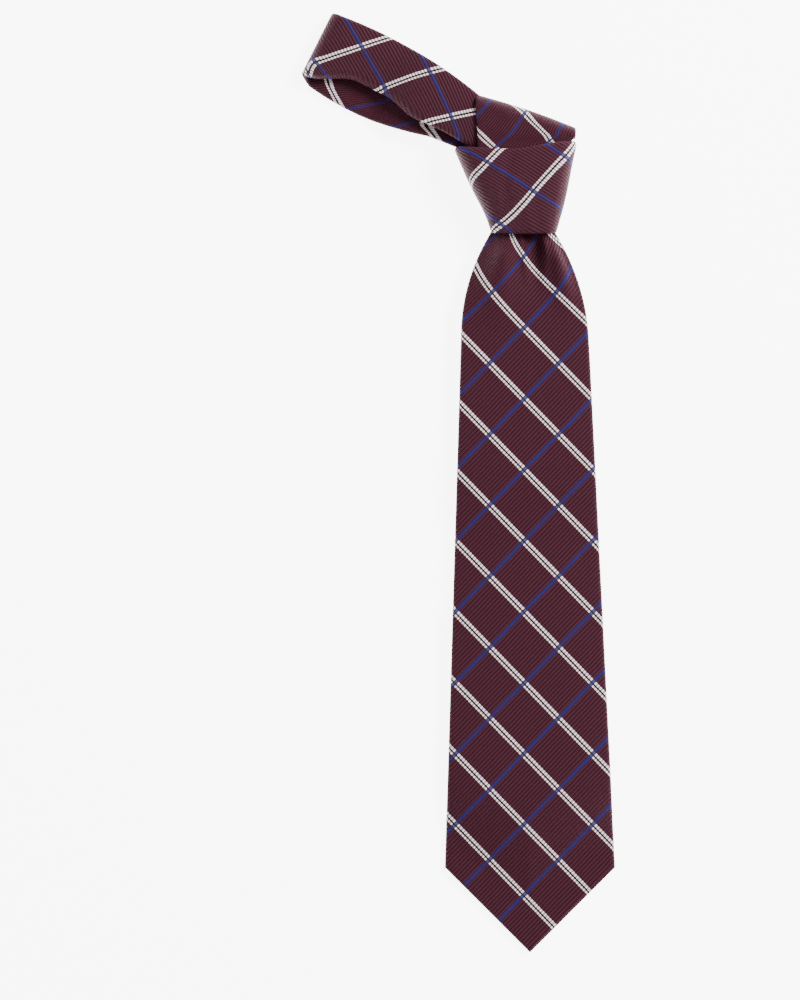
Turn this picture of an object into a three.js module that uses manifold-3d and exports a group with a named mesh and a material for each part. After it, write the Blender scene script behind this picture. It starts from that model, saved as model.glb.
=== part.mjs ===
// A tied silk necktie, laid flat on its back. Millimetres, +Z up from the surface that it lies on.
// +Y runs from the blade's tip to the knot, and the neck loop lies folded flat to the upper left.
// A tie is one long band: a bias-cut silk shell folded round a wool interlining and slip-stitched
// behind. Each stretch of the band is its own shell with its own interlining here.

import * as THREE from "three";
import { mergeVertices } from "three/addons/utils/BufferGeometryUtils.js";
import Module from "manifold-3d";

const wasm = await Module();
wasm.setup();

// ---- Driving dimensions ----

// The band's make-up, from its back face to its front face.
const SILK = 0.5; // one layer of the shell
const TIPPING = 0.3; // the satin lining behind each tip
const INTERLINING = 1.2;
const PLY_GAP = 0.18; // between the plies inside the band
const LAYER_GAP = 0.35; // between one stretch of band and the next
const BAND = 2 * SILK + 3 * PLY_GAP + TIPPING + INTERLINING;
const LEVEL = BAND + LAYER_GAP; // the step from one stretch of band to the next in the knot

// The front blade.
const BLADE_WIDTH = 80; // across the corners of the tip
const BLADE_LENGTH = 341; // from the knot to the tip
const SHOULDER_WIDTH = 60; // where the gathers under the knot have opened out
const SHOULDER_DROP = 52; // how far below the knot that is
const SHOULDER_FLARE = 2.2; // how quickly it opens there
const BLADE_LEAN = 3; // how far the tip lies to the right of the knot
const GATHER_HEIGHT = 3.4; // the two gathers beside the dimple
const TIP_LENGTH = 14; // above the tip's corners, where the blade lies level on the surface
const TIP_DROP = 32; // the stretch above that, which sinks to the surface
const TRIM_RAMP = 42; // the stretch where it comes down from the tail's bulk to the trim's
const POINT_START = 75; // how far above its corners the cloth begins to be drawn into the point

// The tail, behind the front blade.
const TAIL_WIDTH = 38; // across the corners of its tip
const TAIL_UPPER_WIDTH = 32.3; // where it has opened out below the knot
const TAIL_LENGTH = 232;
const TAIL_THROAT_WIDTH = 20; // gathered, in the knot and just below it
const TAIL_TOP = 33; // how far it reaches up inside the knot
const TAIL_STRAIGHT = 30; // below the knot, before it sinks to the surface
const TAIL_SINK = 30; // the length over which it sinks
const TAIL_PULL = 50; // how far it can be drawn down to tighten the loop

// The knot.
const KNOT_HEIGHT = 41; // the front wrap, from its lower edge to its upper edge
const KNOT_BOTTOM_WIDTH = 31;
const KNOT_TOP_LEFT = 33; // the upper corners, from the knot's centre line
const KNOT_TOP_RIGHT = 25.7;
const WRAP_RISE = 2.2; // how much higher the wrap's upper edge ends on the right
const WRAP_CORNER = 6; // the round of the wrap's sides, outside
const WRAP_EASE = 0.385; // its room over the pass inside it, where that levels out
const WRAP_LAP = 3; // how far the wrap turns under at the back, past its corner

// The pass over the top of the knot.
const PASS_LEFT = 22.8; // its upper corners, from the knot's centre line
const PASS_RIGHT = 24;
const PASS_RISE_LEFT = 24.7; // how far its upper corners stand above the wrap's upper edge
const PASS_RISE_RIGHT = 9;
const PASS_LEVEL_BELOW = 15.5; // it reaches its full height this far below that edge
const PASS_SIDE_GAP = 1.14; // between its right edge and the round of the wrap's side
const PASS_BACK_RISE = 6; // where its rear leaf ends, above the wrap's upper edge
const PASS_GATHER_LENGTH = 18; // over which the gathers from the blade fade out in it

// The neck loop.
const NECK_WIDTH = 37.3; // at the fold
const NECK_THROAT_WIDTH = 21; // gathered, where the legs enter the knot
const NECK_THROAT_LENGTH = 29; // the gathered stretch, back from the knot's mouth
const MOUTH_RISE = 8.6; // the middle of the mouth, above the wrap's upper edge
const LOOP_LENGTH = 85; // from the fold to the knot's mouth
const LOOP_ANGLE = 26.7; // degrees, its slope down towards the knot
const LEG_REACH = 11; // how far each leg goes on inside the mouth
const LOOP_GAP = 5.5; // the opening between the legs, near the fold
const FLAT_LENGTH = 34; // from the fold, where the legs lie level
const RISE_LENGTH = 18; // over which they rise to the knot
const CURL = 6; // how far the upper leg's lower edge is rolled in
const CURL_FROM = 8; // from the fold, where that roll starts
const CURL_FULL = 24; // and where it is complete

// Sewing and trim.
const HEM = 8; // the silk turned in round the front tip
const TAIL_HEM = 4.8; // and round the tail's
const SEAM_GAP = 0.8; // half the gap between the two flaps behind
const THREAD = 0.3; // half the slip stitch's width
const STITCH_SUNK = 0.05; // how far it lies below the flaps' faces
const TACK_WIDTH = 6.4;
const TACK_HEIGHT = 1.4;
const TACK_SUNK = 0.3; // how far it sits in the flaps
const FRONT_TACK = 108; // from the front tip
const TAIL_TACK = 52; // from the tail's tip
const KEEPER_WIDTH = 50;
const KEEPER_HEIGHT = 13;
const KEEPER_FROM_TIP = 172;
const KEEPER_PLY = 0.8;
const LABEL_WIDTH = 44;
const LABEL_HEIGHT = 18;
const LABEL_FROM_TIP = 144;
const CARE_TAG_WIDTH = 16;
const CARE_TAG_HEIGHT = 12;
const CARE_TAG_FROM_TIP = 196;
const TRIM_PLY = 0.4;

// ---- Worked out from those ----

const UP = new THREE.Vector3(0, 0, 1);
const DOWN = new THREE.Vector3(0, 0, -1);
const TOWARDS_TIP = new THREE.Vector3(0, -1, 0);

const wrapBottomHeight = 3 * LEVEL + GATHER_HEIGHT - LAYER_GAP + BAND;
const wrapTopHeight = 6 * LEVEL + BAND;
const bladeOverTail = 2 * LEVEL;
const bladeOverTrim = BAND + 2 * LAYER_GAP + KEEPER_PLY + LAYER_GAP;
const passInWrapRight = KNOT_TOP_RIGHT - WRAP_CORNER - PASS_SIDE_GAP;
const passTopLeft = KNOT_HEIGHT + PASS_RISE_LEFT;
const passTopRight = KNOT_HEIGHT + PASS_RISE_RIGHT;
const passLevelFrom = KNOT_HEIGHT - PASS_LEVEL_BELOW;
const passBackEnd = KNOT_HEIGHT + PASS_BACK_RISE;
const wrapBulgeHeight = fullnessOver(passLevelFrom / KNOT_HEIGHT);
const tailSunkAt = TAIL_STRAIGHT + TAIL_SINK + TAIL_PULL;

// How full the wrap's front is at mid-height, so that it clears the pass at a share of its height.
function fullnessOver(share) {
  const straight = wrapBottomHeight + (wrapTopHeight - wrapBottomHeight) * share - BAND;
  return (5 * LEVEL + BAND + WRAP_EASE - straight) / (1 - (2 * share - 1) ** 2);
}

const loopTurn = THREE.MathUtils.degToRad(LOOP_ANGLE);
const towardsKnot = new THREE.Vector3(Math.cos(loopTurn), -Math.sin(loopTurn), 0);
const acrossLoop = new THREE.Vector3(Math.sin(loopTurn), Math.cos(loopTurn), 0);

// ---- Small helpers ----

function smooth(value, from, to) {
  return THREE.MathUtils.smoothstep(value, Math.min(from, to), Math.max(from, to));
}

function mix(a, b, share) {
  return a + (b - a) * share;
}

// Equal steps from one value to another, both included.
function sample(from, to, steps) {
  return Array.from({ length: steps + 1 }, (_, i) => mix(from, to, i / steps));
}

function at(x, y, z = 0) {
  return new THREE.Vector3(x, y, z);
}

// ---- Bands ----
// A band is a list of stations. A station has the band's two edges on its back face, the way that
// its front face looks, the margin left at each edge, and two shapes: relief lifts a point off the
// flat, and chevron, from 0 to 1, draws the middle of the station forward into a 45 degree point.

const COLUMNS = 4; // facets across a station
const EDGE_ROUND = 0.28; // a band's rolled edge, as a share of its thickness

function station(left, right, normal, { relief = () => 0, chevron = 0 } = {}) {
  return { left, right, normal: normal.clone().normalize(), relief, chevron, margin: 0 };
}

function widthOf(s) {
  return s.left.distanceTo(s.right);
}

// The same band, narrower by a margin on each side, and as much shorter at a pointed end.
function inset(stations, margin) {
  const marginAt = typeof margin === "function" ? margin : () => margin;
  return stations.map((s, i) => ({ ...s, margin: marginAt(s, i) }));
}

// The same band, carried straight on past one of its ends or both.
function extended(stations, length, ends = "both") {
  const past = (end, next) => {
    const along = end.left.clone().add(end.right).sub(next.left).sub(next.right).normalize();
    const step = along.multiplyScalar(length);
    return { ...end, left: end.left.clone().add(step), right: end.right.clone().add(step) };
  };
  const longer = [...stations];
  if (ends !== "end") longer.unshift(past(stations[0], stations[1]));
  if (ends !== "start") longer.push(past(stations.at(-1), stations.at(-2)));
  return longer;
}

// The back face of a whole station, as points at equal shares of its width.
function chainOf(s) {
  const half = widthOf(s) / 2;
  const retreat = s.chevron === 1 ? s.margin * Math.SQRT2 : 0;
  return sample(-1, 1, COLUMNS).map((u) => {
    const p = s.left.clone().lerp(s.right, (u + 1) / 2);
    p.addScaledVector(TOWARDS_TIP, s.chevron * half * (1 - Math.abs(u)) - retreat);
    return p.addScaledVector(s.normal, s.relief(u));
  });
}

// The outline of one ply at a station: back points from left to right, then front points back.
// The outer points are drawn in, so that the edge is rolled and not square.
function outlineAt(s, back, front, columns) {
  const chain = chainOf(s);
  const width = widthOf(s);
  const inner = width - 2 * s.margin;
  const thickness = front - back;
  const roll = Math.min(thickness / 2, inner / 5) / inner;
  const shares = [0, ...sample(roll, 1 - roll, columns), 1];
  const point = (share, height) => {
    const place = ((s.margin + share * inner) / width) * COLUMNS;
    const k = Math.min(Math.floor(place), COLUMNS - 1);
    return chain[k].clone().lerp(chain[k + 1], place - k).addScaledVector(s.normal, height);
  };
  const atEdge = (share) => share === 0 || share === 1;
  const rounding = EDGE_ROUND * thickness;
  const backs = shares.map((e) => point(e, atEdge(e) ? back + rounding : back));
  const fronts = shares.map((e) => point(e, atEdge(e) ? front - rounding : front));
  return [...backs, ...fronts.reverse()];
}

// A closed solid through a list of outlines that have equal numbers of points. The facets of its
// front run the same way as those of its back, so that plies keep their distance where they curve.
function solidThrough(outlines) {
  const size = outlines[0].length;
  const half = size / 2;
  const positions = outlines.flat().flatMap((p) => [p.x, p.y, p.z]);
  const faces = [];
  for (let i = 0; i + 1 < outlines.length; i++) {
    for (let j = 0; j < size; j++) {
      const a = i * size + j;
      const b = i * size + ((j + 1) % size);
      const onBack = j < half;
      if (onBack) faces.push([a, b, b + size], [a, b + size, a + size]);
      else faces.push([a, b, a + size], [b, b + size, a + size]);
    }
  }
  const last = (outlines.length - 1) * size;
  for (let j = 0; j + 1 < half; j++) {
    const opposite = size - 1 - j;
    faces.push([j, opposite, opposite - 1], [j, opposite - 1, j + 1]);
    faces.push([last + j, last + opposite - 1, last + opposite]);
    faces.push([last + j, last + j + 1, last + opposite - 1]);
  }
  const geometry = new THREE.BufferGeometry();
  geometry.setAttribute("position", new THREE.Float32BufferAttribute(positions, 3));
  geometry.setIndex(faces.flat());
  return facingOut(geometry);
}

function volumeOf(geometry) {
  const places = geometry.attributes.position;
  const [a, b, c] = [at(0, 0), at(0, 0), at(0, 0)];
  let volume = 0;
  for (let i = 0; i < geometry.index.count; i += 3) {
    a.fromBufferAttribute(places, geometry.index.getX(i));
    b.fromBufferAttribute(places, geometry.index.getX(i + 1));
    c.fromBufferAttribute(places, geometry.index.getX(i + 2));
    volume += a.dot(b.cross(c)) / 6;
  }
  return volume;
}

function facingOut(geometry) {
  if (volumeOf(geometry) < 0) geometry.setIndex([...geometry.index.array].reverse());
  return geometry;
}

function ply(stations, back, front, columns = COLUMNS) {
  return solidThrough(stations.map((s) => outlineAt(s, back, front, columns)));
}

// ---- Cutting ----

function manifoldOf(geometry) {
  const merged = mergeVertices(geometry, 1e-4);
  const mesh = new wasm.Mesh({
    numProp: 3,
    vertProperties: merged.attributes.position.array,
    triVerts: new Uint32Array(merged.index.array),
  });
  return new wasm.Manifold(mesh);
}

function geometryOf(manifold) {
  const { vertProperties, triVerts } = manifold.getMesh();
  const geometry = new THREE.BufferGeometry();
  geometry.setAttribute("position", new THREE.BufferAttribute(vertProperties, 3));
  geometry.setIndex(new THREE.BufferAttribute(triVerts, 1));
  return geometry;
}

function cut(geometry, ...tools) {
  let remaining = manifoldOf(geometry);
  for (const tool of tools) remaining = remaining.subtract(manifoldOf(tool));
  return geometryOf(remaining);
}

// ---- The plies of a stretch of band ----

const CUT_PAST = 2; // how far a cut runs out past an open end

// The silk, folded round so that its two flaps meet behind. opening says how far in from each
// edge the flaps reach, and a tipped end is closed by the fold of its hem.
function shell(stations, opening, { openEnds = "both", recesses = [] } = {}) {
  const hollow = ply(extended(inset(stations, SILK), CUT_PAST, openEnds), SILK, BAND - SILK);
  const between = ply(extended(inset(stations, opening), CUT_PAST, openEnds), -SILK, 2 * SILK);
  return cut(ply(stations, 0, BAND), hollow, between, ...recesses);
}

const seamOnly = (s) => widthOf(s) / 2 - SEAM_GAP;

const liningBack = SILK + TIPPING + 2 * PLY_GAP;

function interlining(stations) {
  return ply(inset(stations, SILK + PLY_GAP), liningBack, liningBack + INTERLINING);
}

// Its edge keeps clear of the roll of the shell's edge.
function tipping(stations) {
  const margin = SILK + (BAND - 2 * SILK) / 3;
  return ply(inset(stations, margin), SILK + PLY_GAP, SILK + PLY_GAP + TIPPING);
}

function slipStitch(stations) {
  const alongSeam = (s) => widthOf(s) / 2 - THREAD;
  return ply(inset(stations, alongSeam), STITCH_SUNK, SILK - STITCH_SUNK, 1);
}

// ---- Front blade ----

const bladeCorner = -(BLADE_LENGTH - BLADE_WIDTH / 2);
const tackRow = -(BLADE_LENGTH - FRONT_TACK);

function bladeWidthAt(y) {
  const open = THREE.MathUtils.clamp(-y / SHOULDER_DROP, 0, 1);
  const gathered = mix(KNOT_BOTTOM_WIDTH, SHOULDER_WIDTH, 1 - (1 - open) ** SHOULDER_FLARE);
  const taper = THREE.MathUtils.clamp((-y - SHOULDER_DROP) / (-bladeCorner - SHOULDER_DROP), 0, 1);
  return gathered + (BLADE_WIDTH - SHOULDER_WIDTH) * taper;
}

function bladeMiddleAt(y) {
  return (BLADE_LEAN * y) / bladeCorner;
}

// It clears the tail's raised stretch, then the trim over the tail, then sinks to the surface.
function bladeHeightAt(y) {
  const overTail = mix(bladeOverTrim, bladeOverTail, smooth(y, -tailSunkAt - TRIM_RAMP, -tailSunkAt - 2));
  return overTail * smooth(y, bladeCorner + TIP_LENGTH, bladeCorner + TIP_LENGTH + TIP_DROP);
}

// Two humps, one on each side of the middle, fading out over a length from the knot's lower edge.
function gatherRelief(u, y, fadeLength) {
  const height = GATHER_HEIGHT * (1 - smooth(Math.abs(y), 0, fadeLength));
  return (height * (1 - Math.cos(2 * Math.PI * u))) / 2;
}

function bladeStation(y) {
  const half = bladeWidthAt(y) / 2;
  const middle = bladeMiddleAt(y);
  const chevron = 1 - smooth(y, bladeCorner, bladeCorner + POINT_START);
  const relief = (u) => bladeHeightAt(y) + gatherRelief(u, y, SHOULDER_DROP);
  return station(at(middle - half, y), at(middle + half, y), UP, { relief, chevron });
}

const bladeRows = [
  ...sample(-LAYER_GAP, -SHOULDER_DROP, 6),
  -(tailSunkAt + 2),
  -(tailSunkAt + TRIM_RAMP / 2 + 1),
  -(tailSunkAt + TRIM_RAMP),
  ...sample(tackRow, bladeCorner + TIP_LENGTH, 5),
  bladeCorner,
];
const bladeStations = bladeRows.map(bladeStation);

// The flaps meet down to the bar tack, then part towards the corners of the tip.
function bladeOpening(s, i) {
  const share = THREE.MathUtils.clamp((tackRow - bladeRows[i]) / (tackRow - bladeCorner), 0, 1);
  return mix(seamOnly(s), HEM, share);
}

function tackSolid(middle, y, underside, margin) {
  const halfWidth = TACK_WIDTH / 2 + margin;
  const halfHeight = TACK_HEIGHT / 2 + margin;
  const tackStation = (row) => station(at(middle - halfWidth, row), at(middle + halfWidth, row), UP);
  const stations = [y + halfHeight, y - halfHeight].map(tackStation);
  return ply(stations, underside - margin, underside + TACK_SUNK, 1);
}

function frontTackAt(margin) {
  const y = tackRow + TACK_HEIGHT;
  return tackSolid(bladeMiddleAt(y), y, bladeHeightAt(y), margin);
}

// A flat piece of trim on the back of the front blade.
function bladeTrim(width, height, fromTip) {
  const y = -(BLADE_LENGTH - fromTip);
  const top = bladeHeightAt(y) - LAYER_GAP;
  const geometry = new THREE.BoxGeometry(width, height, TRIM_PLY);
  geometry.translate(bladeMiddleAt(y), y, top - TRIM_PLY / 2);
  return geometry;
}

// The keeper loop bows away from the blade between its sewn ends.
function keeperLoop() {
  const y = -(BLADE_LENGTH - KEEPER_FROM_TIP);
  const ends = bladeHeightAt(y) - LAYER_GAP - KEEPER_PLY;
  const stations = sample(-1, 1, 8).map((u) => {
    const x = bladeMiddleAt(y) + (u * KEEPER_WIDTH) / 2;
    const z = ends - LAYER_GAP * (1 - u * u);
    return station(at(x, y - KEEPER_HEIGHT / 2, z), at(x, y + KEEPER_HEIGHT / 2, z), UP);
  });
  return ply(stations, 0, KEEPER_PLY, 1);
}

// ---- Tail ----

const tailCorner = -(TAIL_LENGTH - TAIL_WIDTH / 2);
const tailTackRow = -(TAIL_LENGTH - TAIL_TACK);

function tailWidthAt(y) {
  const opened = smooth(-y, TAIL_STRAIGHT, TAIL_STRAIGHT + TAIL_SINK);
  const taper = THREE.MathUtils.clamp((-y - TAIL_STRAIGHT) / (-tailCorner - TAIL_STRAIGHT), 0, 1);
  return mix(TAIL_THROAT_WIDTH, mix(TAIL_UPPER_WIDTH, TAIL_WIDTH, taper), opened);
}

function tailStation(y) {
  const half = tailWidthAt(y) / 2;
  const chevron = 1 - smooth(y, tailCorner, tailCorner + POINT_START / 2);
  const z = LEVEL * (1 - smooth(-y, TAIL_STRAIGHT, TAIL_STRAIGHT + TAIL_SINK));
  return station(at(-half, y, z), at(half, y, z), UP, { chevron });
}

const tailRows = [
  TAIL_TOP,
  ...sample(-TAIL_STRAIGHT, -TAIL_STRAIGHT - TAIL_SINK, 5),
  ...sample(tailTackRow, tailCorner, 4),
];
const tailStations = tailRows.map(tailStation);

function tailOpening(s, i) {
  const share = THREE.MathUtils.clamp((tailTackRow - tailRows[i]) / (tailTackRow - tailCorner), 0, 1);
  return mix(seamOnly(s), TAIL_HEM, share);
}

function tailTackAt(margin) {
  return tackSolid(0, tailTackRow + TACK_HEIGHT, 0, margin);
}

// ---- Neck loop ----
// Places on it are measured along the loop from its fold, and across it from its centre line.

const mouth = at(-(PASS_LEFT - 1), KNOT_HEIGHT + MOUTH_RISE);
const foldMiddle = mouth.clone().addScaledVector(towardsKnot, -LOOP_LENGTH);

function onLoop(along, across, z) {
  return foldMiddle.clone().addScaledVector(towardsKnot, along).addScaledVector(acrossLoop, across).setZ(z);
}

function neckHalfWidthAt(along) {
  const share = THREE.MathUtils.clamp(along / (LOOP_LENGTH - NECK_THROAT_LENGTH), 0, 1);
  return mix(NECK_WIDTH, NECK_THROAT_WIDTH, share) / 2;
}

// How far a leg has risen from the surface towards its place in the knot, from 0 to 1.
function legRise(along) {
  return smooth(along, FLAT_LENGTH, FLAT_LENGTH + RISE_LENGTH);
}

function upperLeg(along) {
  const z = mix(BAND + LOOP_GAP, 4 * LEVEL, legRise(along));
  const half = neckHalfWidthAt(along);
  const curl = CURL * smooth(along, CURL_FROM, CURL_FULL) * (1 - legRise(along));
  return station(onLoop(along, -half + curl, z), onLoop(along, half, z), UP);
}

function lowerLeg(along) {
  const z = mix(0, 2 * LEVEL, legRise(along)) + BAND;
  const half = neckHalfWidthAt(along);
  return station(onLoop(along, -half, z), onLoop(along, half, z), DOWN);
}

function foldStation(turn) {
  const radius = LOOP_GAP / 2;
  const along = BAND + radius - radius * Math.sin(turn);
  const z = BAND + radius + radius * Math.cos(turn);
  const half = NECK_WIDTH / 2;
  const out = towardsKnot.clone().multiplyScalar(-Math.sin(turn)).addScaledVector(UP, Math.cos(turn));
  return station(onLoop(along, -half, z), onLoop(along, half, z), out);
}

const legPlaces = [
  LOOP_LENGTH + LEG_REACH,
  ...sample(FLAT_LENGTH + RISE_LENGTH, FLAT_LENGTH, 5),
  CURL_FULL,
  (CURL_FROM + CURL_FULL) / 2,
  BAND + LOOP_GAP / 2 + 1.5,
];
const neckStations = [
  ...legPlaces.map(upperLeg),
  ...sample(0, Math.PI, 7).map(foldStation),
  ...[...legPlaces].reverse().map(lowerLeg),
];

// ---- Knot ----

function wrapBulge(u) {
  return wrapBulgeHeight * (1 - u * u);
}

// One station of the front wrap, at a place on a rounded box round the knot. side is -1 on the
// left and 1 on the right, turn is the angle round that side's corners, from the back to the front.
function wrapStation(side, turn, inward = 0) {
  const rail = (halfLeft, halfRight, height, y) => {
    const radius = WRAP_CORNER - BAND;
    const half = (side < 0 ? halfLeft : halfRight) - WRAP_CORNER - inward;
    const front = turn > Math.PI / 2;
    const z = front ? height - WRAP_CORNER : WRAP_CORNER;
    return at(side * (half + radius * Math.sin(turn)), y, z - radius * Math.cos(turn));
  };
  const topY = KNOT_HEIGHT + (side > 0 ? WRAP_RISE : 0);
  const half = KNOT_BOTTOM_WIDTH / 2;
  const bottom = rail(half, half, wrapBottomHeight, 0);
  const top = rail(KNOT_TOP_LEFT, KNOT_TOP_RIGHT, wrapTopHeight, topY);
  const relief = turn === Math.PI ? wrapBulge : undefined;
  return station(bottom, top, at(side * Math.sin(turn), 0, -Math.cos(turn)), { relief });
}

// The wrap's front, from its left corner to its right one, full at mid-height.
function wrapFrontStation(share) {
  const [from, to] = [wrapStation(-1, Math.PI), wrapStation(1, Math.PI)];
  const left = from.left.clone().lerp(to.left, share);
  const right = from.right.clone().lerp(to.right, share);
  right.y = KNOT_HEIGHT + WRAP_RISE * smooth(share, 0.4, 1);
  return station(left, right, UP, { relief: wrapBulge });
}

const wrapStations = [
  wrapStation(-1, 0, WRAP_LAP),
  ...[0, 0.25, 0.5].map((t) => wrapStation(-1, t * Math.PI)),
  ...[0.501, 0.75, 1].map((t) => wrapStation(-1, t * Math.PI)),
  ...sample(0, 1, 6).slice(1, -1).map(wrapFrontStation),
  ...[1, 0.75, 0.501].map((t) => wrapStation(1, t * Math.PI)),
  ...[0.5, 0.25, 0].map((t) => wrapStation(1, t * Math.PI)),
  wrapStation(1, 0, WRAP_LAP),
];

// The pass: its front leaf climbs from the blade to the top of the knot, turns over the neck
// loop's upper leg, and goes down behind it.
function passFrontStation(y) {
  const inWrap = y / KNOT_HEIGHT;
  const throat = KNOT_BOTTOM_WIDTH / 2 - BAND - LAYER_GAP - 0.6;
  const left = mix(throat, PASS_LEFT - 2, inWrap);
  const right = mix(throat, passInWrapRight, inWrap);
  const z = mix(bladeOverTail, 5 * LEVEL, smooth(y, 0, passLevelFrom));
  const relief = (u) => gatherRelief(u, y, PASS_GATHER_LENGTH);
  return station(at(-left, y, z), at(right, y, z), UP, { relief });
}

// Clear of the wrap, where it starts to spread.
function passLipStation() {
  const z = 5 * LEVEL;
  const wrapTop = KNOT_HEIGHT + WRAP_RISE;
  const left = at(-(PASS_LEFT - 1.5), mix(wrapTop, passTopLeft, 0.3), z);
  return station(left, at(passInWrapRight, wrapTop, z), UP);
}

// Over the top edge, which slopes down to the right.
function passTurnStation(turn) {
  const radius = LEVEL / 2 + LAYER_GAP / 2;
  const reach = radius * Math.sin(turn) - radius - BAND;
  const z = 5 * LEVEL - radius + radius * Math.cos(turn);
  const left = at(-PASS_LEFT, passTopLeft + reach, z);
  const right = at(PASS_RIGHT, passTopRight + reach, z);
  return station(left, right, at(0, Math.sin(turn), Math.cos(turn)));
}

function passBackStation(share) {
  const top = passTurnStation(Math.PI);
  const left = top.left.clone();
  const right = top.right.clone();
  left.y = mix(left.y, passBackEnd, share);
  right.y = mix(right.y, passBackEnd, share);
  left.x = mix(left.x, -(PASS_LEFT - 3), share);
  right.x = mix(right.x, KNOT_TOP_RIGHT - BAND - LAYER_GAP, share);
  return station(left, right, DOWN);
}

const passStations = [
  ...sample(LAYER_GAP, passLevelFrom, 4).map(passFrontStation),
  passFrontStation(KNOT_HEIGHT - 3),
  passLipStation(),
  ...sample(0, Math.PI, 6).map(passTurnStation),
  ...[0.5, 1].map(passBackStation),
];

// The layer behind, between the two turned-under ends of the wrap.
function backStation(y) {
  const [left, right] = [-1, 1].map((side) => {
    const end = wrapStation(side, 0, WRAP_LAP);
    const x = mix(end.left.x, end.right.x, y / end.right.y);
    return at(x - side * LAYER_GAP, y);
  });
  return station(left, right, UP);
}

const backStations = sample(2, KNOT_HEIGHT, 2).map(backStation);

// ---- Materials ----

function cloth(colour, roughness) {
  return new THREE.MeshStandardMaterial({ color: colour, roughness, metalness: 0 });
}

const silk = cloth(0x5b1f2d, 0.55);
const satin = cloth(0x4a1826, 0.35);
const wool = cloth(0xd9d2c2, 0.95);
const threadSilk = cloth(0x6b2638, 0.6);
const labelWeave = cloth(0x2a1a20, 0.7);
const tagWeave = cloth(0xe9e6df, 0.75);

// ---- Assembly ----

const necktie = new THREE.Group();

function body(name) {
  const group = new THREE.Group();
  group.name = name;
  necktie.add(group);
  return (meshName, geometry, material) => {
    const mesh = new THREE.Mesh(geometry, material);
    mesh.name = meshName;
    group.add(mesh);
  };
}

const inKnot = body("knot");
inKnot("knot_front_wrap", shell(wrapStations, seamOnly), silk);
inKnot("knot_front_wrap_interlining", interlining(wrapStations), wool);
inKnot("knot_top_pass", shell(passStations, seamOnly), silk);
inKnot("knot_top_pass_interlining", interlining(passStations), wool);
inKnot("knot_back_pass", shell(backStations, seamOnly), silk);
inKnot("knot_back_pass_interlining", interlining(backStations), wool);

const inFront = body("front_blade");
const frontShape = { openEnds: "start", recesses: [frontTackAt(PLY_GAP)] };
inFront("front_blade_shell", shell(bladeStations, bladeOpening, frontShape), silk);
inFront("front_blade_interlining", interlining(bladeStations), wool);
inFront("front_tipping", tipping(bladeStations.slice(-7)), satin);
inFront("front_slip_stitch", slipStitch(bladeStations.slice(0, -7)), threadSilk);
inFront("front_bar_tack", frontTackAt(0), threadSilk);
inFront("keeper_loop", keeperLoop(), silk);
inFront("label", bladeTrim(LABEL_WIDTH, LABEL_HEIGHT, LABEL_FROM_TIP), labelWeave);
inFront("care_tag", bladeTrim(CARE_TAG_WIDTH, CARE_TAG_HEIGHT, CARE_TAG_FROM_TIP), tagWeave);

const inTail = body("tail_blade");
const tailShape = { openEnds: "start", recesses: [tailTackAt(PLY_GAP)] };
inTail("tail_blade_shell", shell(tailStations, tailOpening, tailShape), silk);
inTail("tail_blade_interlining", interlining(tailStations), wool);
inTail("tail_tipping", tipping(tailStations.slice(-5)), satin);
inTail("tail_slip_stitch", slipStitch(tailStations.slice(0, -5)), threadSilk);
inTail("tail_bar_tack", tailTackAt(0), threadSilk);

const inLoop = body("neck_loop");
inLoop("neck_band_shell", shell(neckStations, seamOnly), silk);
inLoop("neck_band_interlining", interlining(neckStations), wool);
inLoop("neck_slip_stitch", slipStitch(neckStations), threadSilk);

// The frame's origin is on the surface, under the middle of the whole tie.
const box = new THREE.Box3().setFromObject(necktie);
const middle = box.getCenter(new THREE.Vector3());
necktie.position.set(-middle.x, -middle.y, -box.min.z);

export default necktie;
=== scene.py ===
"""Looks of the tied silk necktie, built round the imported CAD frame.

Lengths are in millimetres in the tie's own frame (x to the right, y up from the knot's lower edge, z up from the
surface) until they become meshes.
"""

import math

import bpy
import numpy as np
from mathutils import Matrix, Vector


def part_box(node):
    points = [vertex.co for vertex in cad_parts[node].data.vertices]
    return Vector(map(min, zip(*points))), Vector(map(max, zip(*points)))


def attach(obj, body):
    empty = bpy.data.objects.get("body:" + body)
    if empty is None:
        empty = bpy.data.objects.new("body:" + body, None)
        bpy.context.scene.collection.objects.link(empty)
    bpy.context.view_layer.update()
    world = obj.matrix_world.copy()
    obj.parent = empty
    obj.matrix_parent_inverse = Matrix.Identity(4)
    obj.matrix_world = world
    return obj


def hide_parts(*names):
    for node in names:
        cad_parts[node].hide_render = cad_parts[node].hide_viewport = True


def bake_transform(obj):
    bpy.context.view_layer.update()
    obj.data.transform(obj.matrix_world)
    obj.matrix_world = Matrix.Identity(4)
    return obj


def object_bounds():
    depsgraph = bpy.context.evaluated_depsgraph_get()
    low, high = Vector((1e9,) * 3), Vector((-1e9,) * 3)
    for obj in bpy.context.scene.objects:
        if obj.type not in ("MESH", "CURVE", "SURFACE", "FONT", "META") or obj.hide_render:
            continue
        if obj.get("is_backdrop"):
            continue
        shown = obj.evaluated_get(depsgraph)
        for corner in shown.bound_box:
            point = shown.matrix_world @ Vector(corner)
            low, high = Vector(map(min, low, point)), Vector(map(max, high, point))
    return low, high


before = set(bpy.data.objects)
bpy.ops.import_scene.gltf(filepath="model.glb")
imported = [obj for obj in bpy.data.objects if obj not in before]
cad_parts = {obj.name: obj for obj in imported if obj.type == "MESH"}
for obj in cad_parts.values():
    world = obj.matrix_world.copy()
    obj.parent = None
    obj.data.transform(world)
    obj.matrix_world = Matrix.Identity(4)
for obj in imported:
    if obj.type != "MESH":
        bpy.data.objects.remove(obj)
cad_low, cad_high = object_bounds()


def low(node):
    return np.array(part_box(node)[0]) * 1000


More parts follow.
